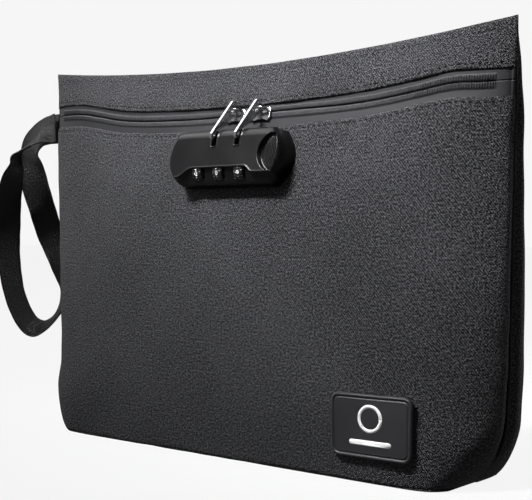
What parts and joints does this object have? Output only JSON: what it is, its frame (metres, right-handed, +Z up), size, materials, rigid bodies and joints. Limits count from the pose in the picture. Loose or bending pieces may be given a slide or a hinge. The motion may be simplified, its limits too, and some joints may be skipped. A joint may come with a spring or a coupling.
{
  "type": "cash deposit bag",
  "caption": "Zipped fabric pouch that stands on a boxed base, closed by paired sliders whose tabs lock into a dial combination lock, with a wrist strap.",
  "frame": {"origin": "middle of the base's underside, where the bag stands", "axes": "+Z up, +X along the width to the viewer's right when facing the lock, -Y the front with the lock"},
  "size_m": [0.3958, 0.0749, 0.225],
  "materials": {
    "oxford": "coated twill Oxford cloth, satin",
    "lining": "plain polyester lining",
    "board": "stiffener board",
    "coated_tape": "water-resistant coated zipper tape, satin",
    "coil": "nylon coil",
    "webbing": "smooth nylon webbing",
    "patch_rubber": "moulded soft rubber",
    "emblem": "raised white rubber",
    "abs": "satin moulded ABS",
    "nylon": "moulded nylon",
    "dial": "moulded dial with white figures",
    "chrome": "polished nickel plate",
    "steel": "plain zinc-plated steel"
  },
  "bodies": {
    "bag": {"front_panel": "oxford", "header_panel": "oxford", "back_panel": "oxford", "bottom_panel": "oxford", "base_board": "board", "lining_front": "lining", "lining_back": "lining", "seam_binding_left": "lining", "seam_binding_right": "lining", "zipper_tape_lower": "coated_tape", "zipper_tape_upper": "coated_tape", "zipper_coil_lower": "coil", "zipper_coil_upper": "coil", "wrist_strap": "webbing", "patch_base": "patch_rubber", "patch_emblem": "emblem", "patch_bar": "emblem", "lock_cover": "abs", "lock_base_plate": "nylon", "dial_shaft": "steel", "shaft_holder_left": "steel", "shaft_holder_right": "steel", "latch_detent": "steel", "lock_backing_plate": "steel", "lock_screw_1": "steel", "lock_screw_2": "steel", "lock_screw_3": "steel", "lock_screw_4": "steel"},
    "slider_left": {"slider_left": "chrome"},
    "slider_right": {"slider_right": "chrome"},
    "pull_tab_left": {"pull_tab_left": "chrome"},
    "pull_tab_right": {"pull_tab_right": "chrome"},
    "latch": {"latch_bar": "steel", "release_button": "abs"},
    "dial_1": {"dial_1": "dial", "dial_sleeve_1": "steel"},
    "dial_2": {"dial_2": "dial", "dial_sleeve_2": "steel"},
    "dial_3": {"dial_3": "dial", "dial_sleeve_3": "steel"}
  },
  "joints": [
    {"name": "slider_left_slide", "type": "slide", "parent": "bag", "child": "slider_left", "axis": [-0.9996, 0, 0.028], "range_m": [0, 0.1], "deforming": ["zipper_tape_lower", "zipper_tape_upper", "zipper_coil_lower", "zipper_coil_upper"]},
    {"name": "slider_right_slide", "type": "slide", "parent": "bag", "child": "slider_right", "axis": [0.9996, 0, 0.028], "range_m": [0, 0.1], "deforming": ["zipper_tape_lower", "zipper_tape_upper", "zipper_coil_lower", "zipper_coil_upper"]},
    {"name": "pull_tab_left_swing", "type": "hinge", "parent": "slider_left", "child": "pull_tab_left", "pos_m": [0, -0.02248, 0.19038], "axis": [-1, 0, 0], "range_deg": [-17, 114]},
    {"name": "pull_tab_right_swing", "type": "hinge", "parent": "slider_right", "child": "pull_tab_right", "pos_m": [0, -0.02248, 0.19038], "axis": [-1, 0, 0], "range_deg": [-17, 114]},
    {"name": "latch_slide", "type": "slide", "parent": "bag", "child": "latch", "axis": [-1, 0, 0], "range_m": [0, 0.0022]},
    {"name": "dial_1_turn", "type": "hinge", "parent": "bag", "child": "dial_1", "pos_m": [0, -0.03461, 0.15534], "axis": [1, 0, 0], "continuous": true},
    {"name": "dial_2_turn", "type": "hinge", "parent": "bag", "child": "dial_2", "pos_m": [0, -0.03461, 0.15534], "axis": [1, 0, 0], "continuous": true},
    {"name": "dial_3_turn", "type": "hinge", "parent": "bag", "child": "dial_3", "pos_m": [0, -0.03461, 0.15534], "axis": [1, 0, 0], "continuous": true}
  ]
}
